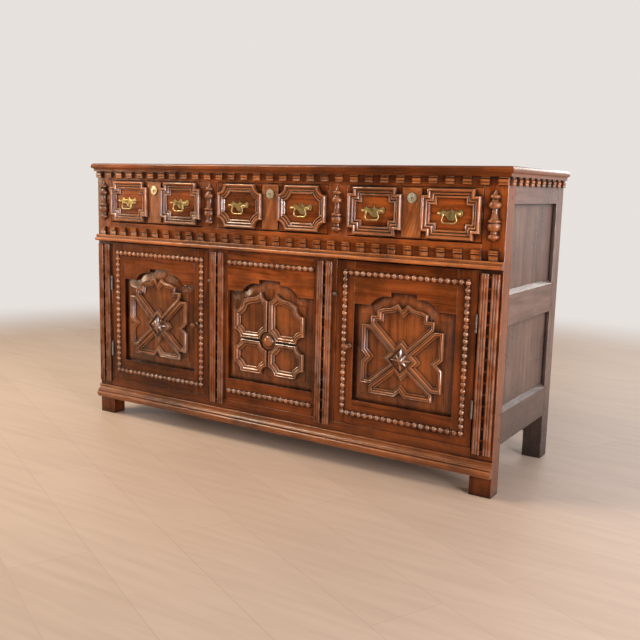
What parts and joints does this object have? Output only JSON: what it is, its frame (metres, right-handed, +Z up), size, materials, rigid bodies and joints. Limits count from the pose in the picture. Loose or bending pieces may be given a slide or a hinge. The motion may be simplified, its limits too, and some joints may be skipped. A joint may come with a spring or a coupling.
{
  "type": "dresser base",
  "caption": "Low oak dresser base with a row of drawers over panelled cupboards, geometric applied mouldings, split balusters and brass bail handles; drawers slide and doors swing.",
  "frame": {"origin": "middle of the footprint on the floor", "axes": "+X along the front to its right end, +Y to the back, +Z up; the front faces -Y"},
  "size_m": [1.5942, 0.537, 0.928],
  "materials": {
    "waxed_oak": "waxed, dark in the hollows",
    "worn_oak": "dull, greyed by light",
    "bare_oak": "unfinished",
    "old_brass": "worn, darkened brass",
    "dark_iron": "dark forged iron"
  },
  "bodies": {
    "carcass": {"front_posts": "waxed_oak", "back_posts": "worn_oak", "top_board": "waxed_oak", "front_rails": "waxed_oak", "drawer_muntins": "waxed_oak", "door_muntins": "waxed_oak", "side_rails": "worn_oak", "side_panels": "worn_oak", "back_rails": "bare_oak", "back_boards": "bare_oak", "cupboard_floor": "bare_oak", "drawer_runners": "bare_oak", "dentils": "waxed_oak", "waist_moulding": "waxed_oak", "base_moulding": "waxed_oak", "pilasters": "waxed_oak", "split_balusters": "waxed_oak", "centre_rails": "waxed_oak", "centre_panel": "waxed_oak", "centre_mouldings": "waxed_oak", "centre_beads": "waxed_oak", "joint_pegs": "worn_oak", "hinge_fixed_leaves": "dark_iron", "turn_button_screws": "dark_iron"},
    "left_door": {"left_door_frame": "waxed_oak", "left_door_panel": "waxed_oak", "left_door_beads": "waxed_oak", "left_door_mouldings": "waxed_oak", "left_door_knob": "waxed_oak", "left_door_hinge_leaves": "dark_iron"},
    "left_turn_button": {"left_turn_button": "dark_iron"},
    "right_door": {"right_door_frame": "waxed_oak", "right_door_panel": "waxed_oak", "right_door_beads": "waxed_oak", "right_door_mouldings": "waxed_oak", "right_door_knob": "waxed_oak", "right_door_hinge_leaves": "dark_iron"},
    "right_turn_button": {"right_turn_button": "dark_iron"},
    "left_drawer": {"left_drawer_front": "waxed_oak", "left_drawer_box": "bare_oak", "left_drawer_mouldings": "waxed_oak", "left_drawer_fittings": "old_brass"},
    "left_drawer_lock_bolt": {"left_drawer_lock_bolt": "dark_iron"},
    "left_drawer_bail_left": {"left_drawer_bail_left": "old_brass"},
    "left_drawer_bail_right": {"left_drawer_bail_right": "old_brass"},
    "centre_drawer": {"centre_drawer_front": "waxed_oak", "centre_drawer_box": "bare_oak", "centre_drawer_mouldings": "waxed_oak", "centre_drawer_fittings": "old_brass"},
    "centre_drawer_lock_bolt": {"centre_drawer_lock_bolt": "dark_iron"},
    "centre_drawer_bail_left": {"centre_drawer_bail_left": "old_brass"},
    "centre_drawer_bail_right": {"centre_drawer_bail_right": "old_brass"},
    "right_drawer": {"right_drawer_front": "waxed_oak", "right_drawer_box": "bare_oak", "right_drawer_mouldings": "waxed_oak", "right_drawer_fittings": "old_brass"},
    "right_drawer_lock_bolt": {"right_drawer_lock_bolt": "dark_iron"},
    "right_drawer_bail_left": {"right_drawer_bail_left": "old_brass"},
    "right_drawer_bail_right": {"right_drawer_bail_right": "old_brass"}
  },
  "joints": [
    {"name": "left_door_hinge", "type": "hinge", "parent": "carcass", "child": "left_door", "pos_m": [-0.71125, -0.2411, 0.37425], "axis": [0, 0, -1], "range_deg": [0, 110]},
    {"name": "left_turn_button_pivot", "type": "hinge", "parent": "carcass", "child": "left_turn_button", "pos_m": [-0.2495, -0.23925, 0.54], "axis": [0, -1, 0], "range_deg": [0, 180]},
    {"name": "right_door_hinge", "type": "hinge", "parent": "carcass", "child": "right_door", "pos_m": [0.71125, -0.2411, 0.37425], "axis": [0, 0, 1], "range_deg": [0, 110]},
    {"name": "right_turn_button_pivot", "type": "hinge", "parent": "carcass", "child": "right_turn_button", "pos_m": [0.2495, -0.23925, 0.54], "axis": [0, 1, 0], "range_deg": [0, 180]},
    {"name": "left_drawer_slide", "type": "slide", "parent": "carcass", "child": "left_drawer", "axis": [0, -1, 0], "range_m": [0, 0.32]},
    {"name": "left_drawer_lock_bolt_throw", "type": "slide", "parent": "left_drawer", "child": "left_drawer_lock_bolt", "axis": [0, 0, 1], "range_m": [0, 0.008]},
    {"name": "left_drawer_bail_left_swing", "type": "hinge", "parent": "left_drawer", "child": "left_drawer_bail_left", "pos_m": [-0.61933, -0.2525, 0.7965], "axis": [-1, 0, 0], "range_deg": [0, 100]},
    {"name": "left_drawer_bail_right_swing", "type": "hinge", "parent": "left_drawer", "child": "left_drawer_bail_right", "pos_m": [-0.37533, -0.2525, 0.7965], "axis": [-1, 0, 0], "range_deg": [0, 100]},
    {"name": "centre_drawer_slide", "type": "slide", "parent": "carcass", "child": "centre_drawer", "axis": [0, -1, 0], "range_m": [0, 0.32]},
    {"name": "centre_drawer_lock_bolt_throw", "type": "slide", "parent": "centre_drawer", "child": "centre_drawer_lock_bolt", "axis": [0, 0, 1], "range_m": [0, 0.008]},
    {"name": "centre_drawer_bail_left_swing", "type": "hinge", "parent": "centre_drawer", "child": "centre_drawer_bail_left", "pos_m": [-0.122, -0.2525, 0.7965], "axis": [-1, 0, 0], "range_deg": [0, 100]},
    {"name": "centre_drawer_bail_right_swing", "type": "hinge", "parent": "centre_drawer", "child": "centre_drawer_bail_right", "pos_m": [0.122, -0.2525, 0.7965], "axis": [-1, 0, 0], "range_deg": [0, 100]},
    {"name": "right_drawer_slide", "type": "slide", "parent": "carcass", "child": "right_drawer", "axis": [0, -1, 0], "range_m": [0, 0.32]},
    {"name": "right_drawer_lock_bolt_throw", "type": "slide", "parent": "right_drawer", "child": "right_drawer_lock_bolt", "axis": [0, 0, 1], "range_m": [0, 0.008]},
    {"name": "right_drawer_bail_left_swing", "type": "hinge", "parent": "right_drawer", "child": "right_drawer_bail_left", "pos_m": [0.37533, -0.2525, 0.7965], "axis": [-1, 0, 0], "range_deg": [0, 100]},
    {"name": "right_drawer_bail_right_swing", "type": "hinge", "parent": "right_drawer", "child": "right_drawer_bail_right", "pos_m": [0.61933, -0.2525, 0.7965], "axis": [-1, 0, 0], "range_deg": [0, 100]}
  ]
}
